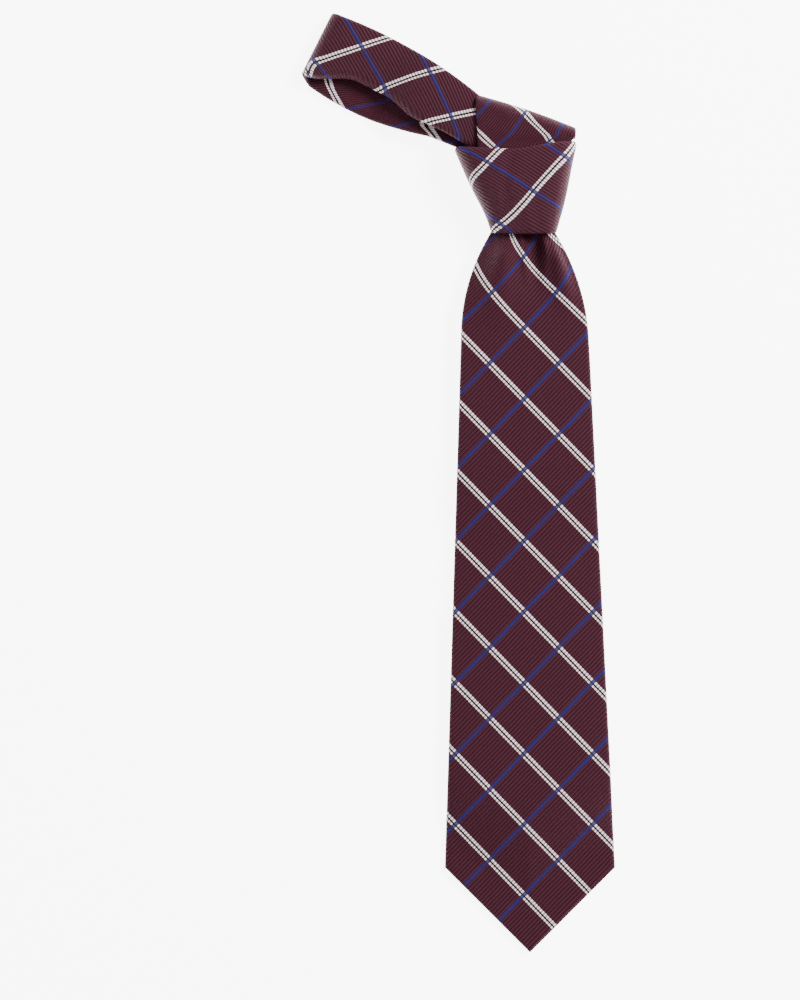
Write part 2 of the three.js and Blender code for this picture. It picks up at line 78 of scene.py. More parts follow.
def high(node):
    return np.array(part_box(node)[1]) * 1000


# The tie's own origin is the middle of the knot's lower edge.
ORIGIN = np.array([
    (low("tail_slip_stitch")[0] + high("tail_slip_stitch")[0]) / 2,
    low("knot_front_wrap")[1],
    0.0,
])

BAND = 3.04  # thickness of one stretch of band
SILK = 0.45  # the visible shell cloth
WOOL = 1.2  # the interlining in the bands
SEAM_GAP = 0.45  # from the middle of a blade's back to the edge of a flap
BAND_SEAM_GAP = 0.5
CHECK = 22.9  # distance between two lines of the check
TAIL_LEVEL = BAND + 0.35
BLADE_OVER_TAIL = 2 * TAIL_LEVEL
BAND_MARGIN = 1.7  # from the edge of a band to the wool inside it


def smooth(value, start, end):
    t = np.clip((np.asarray(value, float) - start) / (end - start), 0, 1)
    return t * t * (3 - 2 * t)


def mix(a, b, share):
    return a + (b - a) * share


def bump(value, centre, spread):
    return np.exp(-(((np.asarray(value, float) - centre) / spread) ** 2))


# ---- Meshes ----


def add_object(name, points, faces, uv=None):
    mesh = bpy.data.meshes.new(name)
    placed = (np.asarray(points) + ORIGIN) / 1000
    mesh.from_pydata(placed.tolist(), [], [tuple(int(v) for v in face) for face in faces])
    mesh.update()
    if uv is not None:
        layer = mesh.uv_layers.new(name="cloth")
        corners = np.empty(len(mesh.loops), dtype=np.int64)
        mesh.loops.foreach_get("vertex_index", corners)
        layer.data.foreach_set("uv", np.asarray(uv, np.float32)[corners].ravel())
    mesh.shade_smooth()
    piece = bpy.data.objects.new(name, mesh)
    bpy.context.scene.collection.objects.link(piece)
    return piece


def grid_faces(rows, columns, first=0):
    faces = []
    for r in range(rows - 1):
        for c in range(columns - 1):
            a = first + r * columns + c
            faces.append((a, a + 1, a + columns + 1, a + columns))
    return faces


def thicken(piece, thickness, offset=-1.0):
    """Gives a one-layer cloth its thickness and keeps the result as plain mesh."""
    solid = piece.modifiers.new("thickness", "SOLIDIFY")
    solid.thickness = thickness / 1000
    solid.offset = offset
    solid.use_quality_normals = True
    settle = bpy.context.evaluated_depsgraph_get()
    mesh = bpy.data.meshes.new_from_object(piece.evaluated_get(settle))
    piece.modifiers.clear()
    piece.data = mesh
    mesh.shade_smooth()
    return piece


def facing(points, faces, towards):
    """Turns the faces so that the first one looks along towards."""
    a, b, c, d = (np.asarray(points[i]) for i in faces[0])
    normal = np.cross(c - a, d - b)
    if normal @ np.asarray(towards, float) < 0:
        return [tuple(reversed(face)) for face in faces]
    return faces


# ---- Bands ----
# A band is a grid of centre-line points: rows along it, and columns across it at equal shares from -1 to 1.


def normals_of(centre, up):
    along = np.gradient(centre, axis=0)
    across = np.gradient(centre, axis=1)
    normal = np.cross(across, along)
    normal /= np.linalg.norm(normal, axis=2, keepdims=True)
    row, column, direction = up
    if normal[row, column] @ np.asarray(direction, float) < 0:
        normal = -normal
    return normal


def at_shares(row, shares):
    place = (np.asarray(shares) + 1) / 2 * (len(row) - 1)
    k = np.clip(place.astype(int), 0, len(row) - 2)
    w = (place - k).reshape(-1, *([1] * (row.ndim - 1)))
    return row[k] * (1 - w) + row[k + 1] * w


def band_shell(name, centre, up, check, flap_columns=6, front_columns=30):
    """Silk folded round a band so that its two flaps nearly meet behind.
    """
    normal = normals_of(centre, up)
    steps = np.linalg.norm(np.diff(centre, axis=0), axis=2)
    travelled = np.vstack([np.zeros(centre.shape[1]), np.cumsum(steps, axis=0)])
    travelled -= travelled[up[0]]
    points, uv = [], []
    half_thick = BAND / 2
    for r in range(len(centre)):
        half = np.linalg.norm(np.diff(centre[r], axis=0), axis=1).sum() / 2
        roll = half_thick * 0.95
        inner = 1 - roll / half
        turn = np.linspace(-math.pi / 2, math.pi / 2, 7)
        edge_shares = inner + (1 - inner) * np.cos(turn)
        flap = np.linspace(BAND_SEAM_GAP / half, inner, flap_columns)
        front = np.linspace(-inner, inner, front_columns)
        shares = np.concatenate([-flap, -edge_shares[1:], front[1:-1], edge_shares[::-1][:-1], flap[::-1]])
        heights = np.concatenate([
            np.full(flap_columns, -1.0), np.sin(turn[1:]), np.full(front_columns - 2, 1.0),
            np.sin(turn[::-1][:-1]), np.full(flap_columns, -1.0),
        ]) * half_thick
        arc = (math.pi / 2 - turn) * half_thick
        edge_flat = inner * half + arc
        flap_flat = inner * half + math.pi * half_thick + (inner - flap) * half
        flat = np.concatenate([
            -flap_flat, -edge_flat[1:], front[1:-1] * half, edge_flat[::-1][:-1], flap_flat[::-1],
        ])
        p = at_shares(centre[r], shares) + at_shares(normal[r], shares) * heights[:, None]
        points.append(p)
        uv.append(check(at_shares(travelled[r], shares), flat))
    points = np.array(points)
    rows, columns = points.shape[:2]
    flat_points = points.reshape(-1, 3)
    faces = grid_faces(rows, columns)
    middle = columns // 2
    first = up[0] * (columns - 1) + middle if up[0] < rows - 1 else (rows - 2) * (columns - 1) + middle
    a, b, c, d = (flat_points[i] for i in faces[first])
    if np.cross(c - a, d - b) @ normal[min(up[0], rows - 2), centre.shape[1] // 2] < 0:
        faces = [tuple(reversed(face)) for face in faces]
    piece = add_object(name, flat_points, faces, np.array(uv).reshape(-1, 2))
    return thicken(piece, SILK)


def band_pad(name, centre, columns=22):
    """The wool inside a band."""
    points = []
    for row in centre:
        half = np.linalg.norm(np.diff(row, axis=0), axis=1).sum() / 2
        points.append(at_shares(row, np.linspace(-1, 1, columns) * (1 - BAND_MARGIN / half)))
    points = np.array(points)
    piece = add_object(name, points.reshape(-1, 3), grid_faces(*points.shape[:2]))
    return thicken(piece, WOOL, 0.0)


def stitches(name, path, normal, spacing=5.0, length=2.6, radius=0.16, slant=0.35):
    """Short raised stitches along a seam. normal is one direction, or one for each point."""
    path = np.asarray(path, float)
    normal = np.broadcast_to(np.asarray(normal, float), path.shape)
    lengths = np.concatenate([[0], np.cumsum(np.linalg.norm(np.diff(path, axis=0), axis=1))])
    points, faces = [], []
    ring = 6
    for place in np.arange(spacing / 2, lengths[-1], spacing):
        centre = np.array([np.interp(place, lengths, path[:, k]) for k in range(3)])
        ahead = np.array([np.interp(place + 0.5, lengths, path[:, k]) for k in range(3)]) - centre
        ahead /= max(np.linalg.norm(ahead), 1e-9)
        n = np.array([np.interp(place, lengths, normal[:, k]) for k in range(3)])
        side = np.cross(n, ahead)
        direction = ahead + slant * side
        direction /= np.linalg.norm(direction)
        across = np.cross(n, direction)
        start = len(points)
        for t in np.linspace(-1, 1, 7):
            swell = radius * math.sqrt(max(1 - abs(t) ** 4, 0.04))
            middle = centre + direction * (t * length / 2) + n * (radius * (1 - t * t) * 0.9)
            for k in range(ring):
                a = 2 * math.pi * k / ring
                points.append(middle + swell * (math.cos(a) * across + math.sin(a) * n))
        for i in range(6):
            for k in range(ring):
                a, b = start + i * ring + k, start + i * ring + (k + 1) % ring
                faces.append((a, b, b + ring, a + ring))
        faces.append(tuple(reversed(range(start, start + ring))))
        faces.append(tuple(range(start + 6 * ring, start + 7 * ring)))
    return add_object(name, points, faces)


# ---- The check ----


def check_from(crossing, white, blue):
    """A crossing lies at crossing, and white and blue reach the next one along each line."""
    inverse = np.linalg.inv(np.array([white, blue], float).T)

    def check(p, q):
        offset = np.stack([np.asarray(p, float) - crossing[0], np.asarray(q, float) - crossing[1]], axis=-1)
        return offset @ inverse.T

    return check


# ---- Pointed blades ----


class Blade:
    """A pointed end of the tie: a front, and all round it the silk turned in behind, with a mitred tip.

    corner is the row where the point begins, and above it the rows bend forward over the length point_start.
    half_at and relaxed_at are half the width as it lies and as it was cut, height_at is the back face's height, and
    relief_at what the front rises by. The seam is closed down to seam_until, and hem is the turned-in width at the tip.
    """

    def __init__(
        self, corner, point_start, half_at, relaxed_at, middle_at, height_at, relief_at, seam_until, hem, rows
    ):
        self.corner, self.point_start = corner, point_start
        self.half_at, self.relaxed_at, self.middle_at = half_at, relaxed_at, middle_at
        self.height_at, self.relief_at = height_at, relief_at
        self.seam_until, self.hem = seam_until, hem
        self.rows = np.concatenate(rows)

    def chevron(self, y):
        """How far the middle of a row is drawn forward into the point, from 0 to 1."""
        t = min(max((y - self.corner) / self.point_start, 0.0), 1.0)
        return 1 - t * t * (3 - 2 * t)

    def plan(self, y, share, inset):
        """A point on the front at a row and a share across it, at a distance inside the outline."""
        reach = self.half_at(y) - inset
        return np.array([self.middle_at(y) + share * reach, y - self.chevron(y) * (1 - abs(share)) * reach])

    def level(self, x, y):
        """Height of the back face at a place, which follows the row that passes through it."""
        if y > self.corner + self.point_start:
            return self.height_at(y)
        near, far = y, y + 1.3 * self.half_at(self.corner)
        for _ in range(16):
            row = (near + far) / 2
            half = self.half_at(row)
            share = min(abs(x - self.middle_at(row)) / half, 1)
            if row - self.chevron(row) * (1 - share) * half < y:
                near = row
            else:
                far = row
        return self.height_at(row)

    def flat_place(self, x, y):
        stretch = self.relaxed_at(y) / self.half_at(y)
        return self.middle_at(y) + (x - self.middle_at(y)) * stretch, y

    def shell(self, name, check, columns=45):
        roll = BAND / 2
        shares = np.linspace(-1, 1, columns)
        points, flats = [], []
        tip_y = self.corner + roll * (math.sqrt(2) - 1)
        rows = [y for y in self.rows if y > tip_y + 0.5] + [tip_y]
        for y in rows:
            for share in shares:
                x, py = self.plan(y, share, roll)
                points.append([x, py, self.level(x, py) + BAND + self.relief_at(x, py)])
                flats.append(self.flat_place(x, py))
        count = len(rows)
        faces = grid_faces(count, columns)
        left = [r * columns for r in range(count)]
        tip = [(count - 1) * columns + c for c in range(1, columns - 1)]
        right = [r * columns + columns - 1 for r in reversed(range(count))]
        edge = left + tip + right
        diagonal = math.sqrt(0.5)
        outward = []
        for index in range(len(edge)):
            if index < count - 1:
                outward.append((-1.0, 0.0))
            elif index == count - 1:
                outward.append((-1.0, -math.tan(math.pi / 8)))
            elif index < len(edge) - count:
                share = shares[index - count + 1]
                if abs(share) < 1e-6:
                    outward.append((0.0, -math.sqrt(2)))
                else:
                    outward.append((math.copysign(diagonal, share), -diagonal))
            elif index == len(edge) - count:
                outward.append((1.0, -math.tan(math.pi / 8)))
            else:
                outward.append((1.0, 0.0))
        depths = []
        for index in edge:
            y = points[index][1]
            seam = self.half_at(y) - SEAM_GAP - roll
            share = np.clip((self.seam_until - y) / (self.seam_until - self.corner), 0, 1)
            depths.append(mix(seam, self.hem - roll, share) if y > self.corner + 0.8 else self.hem - roll)
        ladder = [list(edge)]
        turns = np.linspace(math.pi / 2, -math.pi / 2, 8)[1:]
        inward = np.linspace(0, 1, 8)[1:]
        for turn in turns:
            ring = []
            for k, index in enumerate(edge):
                bx, by = points[index][:2]
                ox, oy = outward[k]
                x, y = bx + ox * roll * math.cos(turn), by + oy * roll * math.cos(turn)
                fx, fy = flats[index]
                relief = self.relief_at(bx, by) * (1 + math.sin(turn)) / 2
                ring.append(len(points))
                points.append([x, y, self.level(x, y) + roll + roll * math.sin(turn) + relief])
                arc = (math.pi / 2 - turn) * roll
                flats.append((fx + ox * arc, fy + oy * arc))
            ladder.append(ring)
        for share in inward:
            ring = []
            for k, index in enumerate(edge):
                bx, by = points[index][:2]
                ox, oy = outward[k]
                reach = depths[k] * share
                x, y = bx - ox * reach, by - oy * reach
                fx, fy = flats[index]
                ring.append(len(points))
                sag = 0.18 * math.sin(math.pi * share)
                points.append([x, y, self.level(x, y) + sag])
                arc = math.pi * roll + reach
                flats.append((fx + ox * arc, fy + oy * arc))
            ladder.append(ring)
        for upper, lower in zip(ladder, ladder[1:]):
            for k in range(len(edge) - 1):
                faces.append((upper[k], lower[k], lower[k + 1], upper[k + 1]))
        front = facing(points, faces[: (count - 1) * (columns - 1)], (0, 0, 1))
        around = faces[(count - 1) * (columns - 1):]
        # The strip round the edge winds the same way as the front does where they meet.
        if not shares_direction(front, around):
            around = [tuple(reversed(face)) for face in around]
        uv = check(np.array(flats)[:, 0], np.array(flats)[:, 1])
        piece = thicken(add_object(name, points, front + around, uv), SILK)
        # The folds of the mitred tip press flat where they cross, as on a table.
        for vertex in piece.data.vertices:
            vertex.co.z = max(vertex.co.z, 0.0)
        return piece

    def layer(self, name, inset, lift, thickness, start_y=None, columns=31, keep_relief=1.0):
        """A flat layer inside the blade."""
        points = []
        shares = np.linspace(-1, 1, columns)
        tip_y = self.corner + inset * (math.sqrt(2) - 1)
        rows = [y for y in self.rows if y > tip_y + 0.5 and (start_y is None or y <= start_y)] + [tip_y]
        for y in rows:
            for share in shares:
                x, py = self.plan(y, share, inset)
                points.append([x, py, self.level(x, py) + lift + keep_relief * self.relief_at(x, py)])
        faces = facing(points, grid_faces(len(rows), columns), (0, 0, 1))
        piece = thicken(add_object(name, points, faces), thickness, 0.0)
        if keep_relief:
            self.press_between_silks(piece)
        return piece

    def press_between_silks(self, piece):
        """Thins the layer where the hollow of the dimple presses the two silks together."""
        for vertex in piece.data.vertices:
            x, y, z = np.array(vertex.co) * 1000 - ORIGIN
            level = self.level(x, y)
            bottom = level + SILK + 0.02
            top = level + BAND - SILK - 0.3 + min(self.relief_at(x, y), 0)
            if z < bottom or self.relief_at(x, y) < 0:
                vertex.co.z = float(min(max(z, bottom), max(top, bottom + 0.1)) + ORIGIN[2]) / 1000


def shares_direction(front, around):
    """True if the two sets of faces pass their common edges in opposite directions, as one surface does."""
    edges = set()
    for face in front:
        edges.update(zip(face, face[1:] + face[:1]))
    for face in around:
        for pair in zip(face, face[1:] + face[:1]):
            if pair in edges:
                return False
            if pair[::-1] in edges:
                return True
    return True


# ---- Front blade ----

SHOULDER_Y = -52.0  # where the gathers under the knot have opened out
CAD_CORNER = -301.0  # where the CAD blade's point begins
BLADE_CORNER = CAD_CORNER - 1.5  # the photograph's tip lies slightly lower than the CAD's
BLADE_OVER_TRIM = 7.93 - BAND
GATHER_RISE = 3.3
BLADE_LEAN = 3.0
DEEPEST = -1.4  # the hollow of the dimple stops where front and back silk would meet


def blade_relaxed(y):
    return mix(60.0, 80.0, np.clip((SHOULDER_Y - y) / (SHOULDER_Y - CAD_CORNER), -0.25, 1)) / 2


def blade_half(y):
    opened = np.clip(y / SHOULDER_Y, 0, 1)
    gathered = mix(31.0, 60.0, 1 - (1 - opened) ** 2.2)
    taper = np.clip((SHOULDER_Y - y) / (SHOULDER_Y - CAD_CORNER), 0, 1)
    inside_knot = 4.2 * float(smooth(y, 0.2, 3.0))
    return (gathered + 20 * taper) / 2 + 0.6 * float(smooth(-y, 16, 60)) - inside_knot


def blade_middle(y):
    return BLADE_LEAN * y / CAD_CORNER + 0.5 * float(smooth(-y, 16, 60))


def blade_height(y):
    over_tail = mix(BLADE_OVER_TRIM, BLADE_OVER_TAIL, smooth(y, -152, -112))
    return over_tail * smooth(y, BLADE_CORNER + 14, BLADE_CORNER + 46) + 0.15 * max(y, 0)


def blade_relief(x, y):
    """Gathers and the dimple below the knot, then the slight waviness of cloth that has been worn."""
    u = (x - blade_middle(y)) / blade_half(y)
    fade = 1 - smooth(-y, 0, 50)
    swell = 1 + 1.25 * smooth(-y, 2, 13)
    left = GATHER_RISE * swell * bump(u, -0.42, 0.36) * fade
    right = GATHER_RISE * swell * bump(u, 0.76, 0.25) * (1 - smooth(-y, 0, 46))
    hollow = -2.5 * bump(u, 0.27 + 0.003 * y, 0.21) * (1 - smooth(-y, 6, 34))
    pleat = 1.9 * swell * bump(u, -0.03 - 0.005 * y, 0.085) * (1 - smooth(-y, 2, 30))
    fold = 2.6 * bump(u, 0.60 + 0.010 * y, 0.10) * smooth(-y, 0.5, 5) * (1 - smooth(-y, 6, 30))
    crown = 0.9 * (1 - min(abs(u), 1) ** 3) * smooth(-y, 6, 50) * smooth(y, -341, -240)
    edge = 1 - np.clip(abs(u), 0, 1) ** 6
    wave = 0.22 * math.sin(y / 31.0 + 0.6) * math.cos(x / 17.0) * smooth(-y, 30, 80) * smooth(y, -320, -250)
    gathers = mix(left + right + hollow + pleat + fold + wave, GATHER_RISE, float(smooth(y, 1, 8)))
    return max(float(gathers * edge + crown), DEEPEST)


# The blade runs on inside the knot, where its gathers close the gap below the front wrap.
blade_rows = [
    np.linspace(11.5, 1.5, 9)[:-1],
    np.linspace(1.5, -30, 30)[:-1],
    np.linspace(-30, -60, 14)[:-1],
    np.linspace(-60, -226, 36)[:-1],
    np.linspace(-226, CAD_CORNER, 26),
]
front_blade = Blade(
    BLADE_CORNER, 75.0, blade_half, blade_relaxed, blade_middle, blade_height, blade_relief,
    seam_until=-233.0, hem=8.0, rows=blade_rows,
)
blade_check = check_from((0.5, -45.2), (16.1, -16.9), (16.1, 16.9))
front_shell = front_blade.shell("front_blade_silk", blade_check)
front_pad = front_blade.layer("front_blade_wool", 1.6, 1.62, 1.0, columns=45)
front_lining = front_blade.layer("front_lining_satin", 3.4, 0.78, 0.3, start_y=-214.0, keep_relief=0)

# ---- Tail ----

TAIL_CORNER = -213.0
TAIL_STRAIGHT = 30.0  # below the knot, before it widens and sinks to the surface


def tail_opened(y):
    return float(smooth(-y, TAIL_STRAIGHT, 2 * TAIL_STRAIGHT))


def tail_half(y):
    taper = np.clip((-y - TAIL_STRAIGHT) / (-TAIL_CORNER - TAIL_STRAIGHT), 0, 1)
    return mix(20.0, mix(32.3, 38.0, taper), tail_opened(y)) / 2


def tail_height(y):
    return TAIL_LEVEL * (1 - tail_opened(y))


def no_lean(y):
    return 0.0


def no_relief(x, y):
    return 0.0


tail_rows = [
    np.linspace(33, -28, 12)[:-1],
    np.linspace(-28, -62, 16)[:-1],
    np.linspace(-62, -175, 20)[:-1],
    np.linspace(-175, TAIL_CORNER, 16),
]
tail_blade = Blade(
    TAIL_CORNER, 37.5, tail_half, tail_half, no_lean, tail_height, no_relief,
    seam_until=-180.0, hem=4.8, rows=tail_rows,
)
tail_check = check_from((4.0, -60.0), (16.1, -16.9), (16.1, 16.9))
tail_shell = tail_blade.shell("tail_blade_silk", tail_check, columns=31)
tail_pad = tail_blade.layer("tail_blade_wool", 1.6, 1.75, 1.1, columns=21)
tail_lining = tail_blade.layer("tail_lining_satin", 3.0, 0.78, 0.3, start_y=-168.0, columns=21)

# ---- Neck loop ----

LOOP_TURN = math.radians(26.7)
TO_KNOT = np.array([math.cos(LOOP_TURN), -math.sin(LOOP_TURN), 0.0])
ACROSS = np.array([math.sin(LOOP_TURN), math.cos(LOOP_TURN), 0.0])
UPPER_FOLD_Z, LOWER_FOLD_Z = 10.1, BAND / 2
UPPER_KNOT_Z, LOWER_KNOT_Z = 15.1, 8.3
LOOP_LENGTH = 96.0
CURL_RADIUS = 2.6
fold_middle = np.array([
    (low("neck_band_shell")[0] - ORIGIN[0]) + 17.3 * math.sin(LOOP_TURN) - 0.2,
    (high("neck_band_shell")[1] - ORIGIN[1]) - 18.6 * math.cos(LOOP_TURN) + 0.6,
    0.0,
])


def on_loop(along, across, z):
    return fold_middle + TO_KNOT * along + ACROSS * across + np.array([0, 0, z])


def upper_edge(a):
    return 18.5 + 0.12 * a - 0.0022 * a * a


def upper_fold_line(a):
    """The lower edge of the upper leg as it is seen: rolled in deeply at first, then let out."""
    rolled = mix(-13.0, -4.2, float(smooth(a, 0, 24)))
    return mix(rolled, -9.0 - 0.02 * (a - 57), float(smooth(a, 38, 60)))


def lower_edge(a):
    curved = min(a, 66.0)
    return -17.0 - 0.19 * curved + 0.0036 * curved * curved + 0.09 * max(a - 66.0, 0)


def loop_width(a):
    return mix(36.0, 22.5, float(smooth(a, 10, 92)))


def rise(a):
    return float(smooth(a, 34, 56))


def upper_profile(a, l):
    """Across and height of the upper leg's centre line, l along it from its upper edge."""
    top, seen = upper_edge(a), upper_fold_line(a)
    straight = top - seen - CURL_RADIUS
    z = mix(UPPER_FOLD_Z, UPPER_KNOT_Z, rise(a))
    crown = 0.9 * math.sin(math.pi * min(l / max(straight, 1), 1)) * float(smooth(a, 0, 14))
    if l <= straight:
        return top - l, z + crown
    turned = (l - straight) / CURL_RADIUS
    if turned <= math.pi:
        return seen + CURL_RADIUS - CURL_RADIUS * math.sin(turned), z - CURL_RADIUS * (1 - math.cos(turned))
    return seen + CURL_RADIUS + (l - straight - math.pi * CURL_RADIUS), z - 2 * CURL_RADIUS


def lower_profile(a, l):
    z = mix(LOWER_FOLD_Z, LOWER_KNOT_Z, rise(a))
    return lower_edge(a) + loop_width(a) - l, z


LOOP_COLUMNS = 41
loop_shares = np.linspace(-1, 1, LOOP_COLUMNS)
bend = (UPPER_FOLD_Z - LOWER_FOLD_Z) / 2


def leg_row(profile, a):
    return [on_loop(a, *profile(a, loop_width(a) * (1 - share) / 2)) for share in loop_shares]


loop_rows = [leg_row(upper_profile, a) for a in np.linspace(LOOP_LENGTH, bend, 44)]
for turn in np.linspace(0, math.pi, 13)[1:-1]:
    row = []
    passed = turn / math.pi
    for share in loop_shares:
        length = loop_width(bend) * (1 - share) / 2
        b_upper, z_upper = upper_profile(bend, length)
        b_lower, _ = lower_profile(bend, length)
        drop = (z_upper - UPPER_FOLD_Z) * (1 - passed)
        squeeze = 1 - abs(drop) / 9
        z = (UPPER_FOLD_Z + LOWER_FOLD_Z) / 2 + bend * math.cos(turn) * squeeze + drop * (1 - passed) * 0.8
        row.append(on_loop(bend - bend * math.sin(turn), mix(b_upper, b_lower, passed), z))
    loop_rows.append(row)
loop_rows += [leg_row(lower_profile, a) for a in np.linspace(bend, LOOP_LENGTH, 40)]
loop_centre = np.array(loop_rows)
loop_up = (20, LOOP_COLUMNS // 2, (0, 0, 1))
upper_check = check_from((17.0, -5.8), (-16.6, 15.0), (18.6, 13.6))
lower_check = check_from((71.5, -28.3), (19.0, 10.2), (12.8, -14.9))
# The neck piece is joined to the tail piece on the underside of the fold, this far along from the row in loop_up.
JOIN_AT = 58.0


def loop_check(p, q):
    joined = np.asarray(p)[:, None] > JOIN_AT
    return np.where(joined, lower_check(p, q), upper_check(p, q))


loop_shell = band_shell("neck_loop_silk", loop_centre, loop_up, loop_check, front_columns=36, flap_columns=9)
loop_pad = band_pad("neck_loop_wool", loop_centre)

# ---- Knot ----


KNOT_HEIGHT = 41.0
WRAP_STOPS = [0.0, 0.05, 0.12, 0.2, 0.3, 0.7, 0.8, 0.88, 0.95, 1.0]  # where the path round the knot turns


def wrap_point(path, v):
    """A point on the front wrap's centre line: path from 0 to 1 round the knot, v from its lower edge to its upper."""
    left_side = mix(15.5, 33.0, v) - 1.3 * float(bump(v, 0.22, 0.25))
    right_side = mix(15.5, 25.7, v) + 0.8 * float(bump(v, 0.35, 0.35))
    height = mix(16.3, 23.3, v) - BAND / 2
    back = BAND / 2
    front_radius, back_radius = mix(4.2, 6.5, v), 4.3

    def corner(side, centre_x, centre_z, radius, start, end, share):
        angle = mix(start, end, share)
        return side * (centre_x + radius * math.sin(angle)), centre_z - radius * math.cos(angle)

    left_half, right_half = left_side - BAND / 2, right_side - BAND / 2
    k = max(i for i in range(9) if path >= WRAP_STOPS[i] - 1e-9)
    t = (path - WRAP_STOPS[k]) / (WRAP_STOPS[k + 1] - WRAP_STOPS[k])
    side, half = (-1, left_half) if path <= 0.5 else (1, right_half)
    mirror = t if path <= 0.5 else 1 - t
    leg = k if path < 0.5 else 8 - k
    if leg == 0:
        x, z = side * mix(half - back_radius - 3.0, half - back_radius, mirror), back
    elif leg == 1:
        x, z = corner(side, half - back_radius, back + back_radius, back_radius, 0, math.pi / 2, mirror)
    elif leg == 2:
        x, z = side * half, mix(back + back_radius, height - front_radius, mirror)
    elif leg == 3:
        x, z = corner(side, half - front_radius, height - front_radius, front_radius, math.pi / 2, math.pi, mirror)
    else:
        x, z = mix(-(left_half - front_radius), right_half - front_radius, t), height
    across = (x + left_side) / (left_side + right_side)
    front = float(smooth(path, 0.12, 0.36)) * (1 - float(smooth(path, 0.64, 0.88)))
    fullness = 2.6 * (1 - (2 * v - 1) ** 2) * front
    crown = 0.9 * math.sin(math.pi * min(max(across, 0), 1)) * front
    crease = -0.45 * float(bump(across - 0.25 * v, 0.22, 0.05)) * front * float(smooth(v, 0.05, 0.4))
    ridge = 0.35 * float(bump(across + 0.35 * v, 0.62, 0.09)) * front
    y = KNOT_HEIGHT * v
    y += (2.4 * float(smooth(across, 0.45, 1)) - 1.5 * float(bump(across, 0.42, 0.3))) * v ** 3
    y -= 0.6 * math.sin(math.pi * across) * (1 - v) ** 3
    return x, y, z + fullness + crown + crease + ridge


WRAP_STEPS = (3, 6, 5, 9, 34, 9, 5, 6, 3)  # places between one stop and the next
wrap_paths = np.concatenate([
    np.linspace(start, end, count)[:-1] for start, end, count in zip(WRAP_STOPS, WRAP_STOPS[1:], WRAP_STEPS)
] + [[1.0]])
wrap_centre = np.array([[wrap_point(path, v) for v in np.linspace(0, 1, 33)] for path in wrap_paths])
wrap_middle = int(np.argmin(abs(wrap_paths - 0.5)))
wrap_check = check_from((5.4, -0.9), (-16.4, -16.4), (20.2, -14.8))
wrap_shell = band_shell("knot_wrap_silk", wrap_centre, (wrap_middle, 16, (0, 0, 1)), wrap_check)
wrap_pad = band_pad("knot_wrap_wool", wrap_centre)

FRONT_LEAF_Z, REAR_LEAF_Z = 18.5, 11.7
leaf_radius = (FRONT_LEAF_Z - REAR_LEAF_Z) / 2


def pass_edge_top(share):
    t = (share + 1) / 2
    return mix(65.7, 49.6, t) + 0.9 * math.sin(math.pi * t)


def pass_x(share, y):
    left = mix(-18.6, -21.6, float(smooth(y, 24, 42))) - 1.2 * float(smooth(y, 42, 62))
    right = mix(15.5, 18.4, float(smooth(y, 24, 42))) + 3.6 * float(smooth(y, 35, 41.5))
    right += 3.0 * float(smooth(y, 42.5, 46.5))
    return mix(left, right, (share + 1) / 2)


def pass_turn_start(share):
    """Where the front leaf begins to turn over the top."""
    return pass_edge_top(share) - BAND / 2 - leaf_radius


PASS_RIGHT_OUT = 47.5  # above this row the pass has its full width on the right
pass_shares = np.linspace(-1, 1, 33)
pass_rows = []
for q in np.linspace(0, 1, 26):
    row = []
    for share in pass_shares:
        y = mix(26.0, pass_turn_start(share), q)
        swell = 0.7 * math.sin(math.pi * (share + 1) / 2) * float(smooth(y, 42, 50))
        fold = 0.5 * float(bump(share - 0.02 * (y - 50), -0.35, 0.12)) * float(smooth(y, 40, 46))
        droop = 2.6 * max((share - 0.7) / 0.3, 0) ** 2 * float(smooth(y, 32, 38)) * (1 - float(smooth(y, 44, 49)))
        row.append((pass_x(share, y), y, FRONT_LEAF_Z + swell + fold - droop - 0.7 * float(smooth(y, 60, 66))))
    pass_rows.append(row)
for turn in np.linspace(0, math.pi, 13)[1:]:
    row = []
    for share in pass_shares:
        y = pass_turn_start(share) + leaf_radius * math.sin(turn)
        lift = 0.7 * math.sin(math.pi * (share + 1) / 2) * (1 + math.cos(turn)) / 2
        z = (FRONT_LEAF_Z + REAR_LEAF_Z) / 2 + leaf_radius * math.cos(turn) + lift
        row.append((pass_x(share, max(y, PASS_RIGHT_OUT)), y, z))
    pass_rows.append(row)
for q in np.linspace(0, 1, 6)[1:]:
    row = []
    for share in pass_shares:
        start = pass_turn_start(share)
        y = mix(start, min(47.0, start - 0.5), q)
        x = mix(pass_x(share, max(start, PASS_RIGHT_OUT)), mix(-19.8, 22.3, (share + 1) / 2), q)
        row.append((x, y, REAR_LEAF_Z))
    pass_rows.append(row)
pass_centre = np.array(pass_rows)
pass_plan_check = check_from((-0.95, 55.7), (13.6, -12.4), (11.4, 16.2))


def pass_check(p, q):
    x = np.asarray(q)
    start = 51.4 - 0.268 * (x + 21.6)
    return pass_plan_check(x, np.asarray(p) + start)


pass_shell = band_shell("knot_pass_silk", pass_centre, (18, 16, (0, 0, 1)), pass_check, front_columns=34)
pass_pad = band_pad("knot_pass_wool", pass_centre)

back_left, back_right = low("knot_back_pass") - ORIGIN, high("knot_back_pass") - ORIGIN
back_rows = []
for y in np.linspace(2.0, KNOT_HEIGHT, 14):
    wide = (y - 2) / 39
    ends = (mix(-7.2, back_left[0], wide), mix(5.6, back_right[0], wide))
    back_rows.append([(mix(*ends, (share + 1) / 2), y, BAND / 2) for share in np.linspace(-1, 1, 17)])
back_centre = np.array(back_rows)
back_shell = band_shell("knot_back_silk", back_centre, (6, 8, (0, 0, 1)), tail_check, front_columns=14)
back_pad = band_pad("knot_back_wool", back_centre, columns=12)

# ---- Sewing and trim behind the blades ----

DOWN = (0, 0, -1)


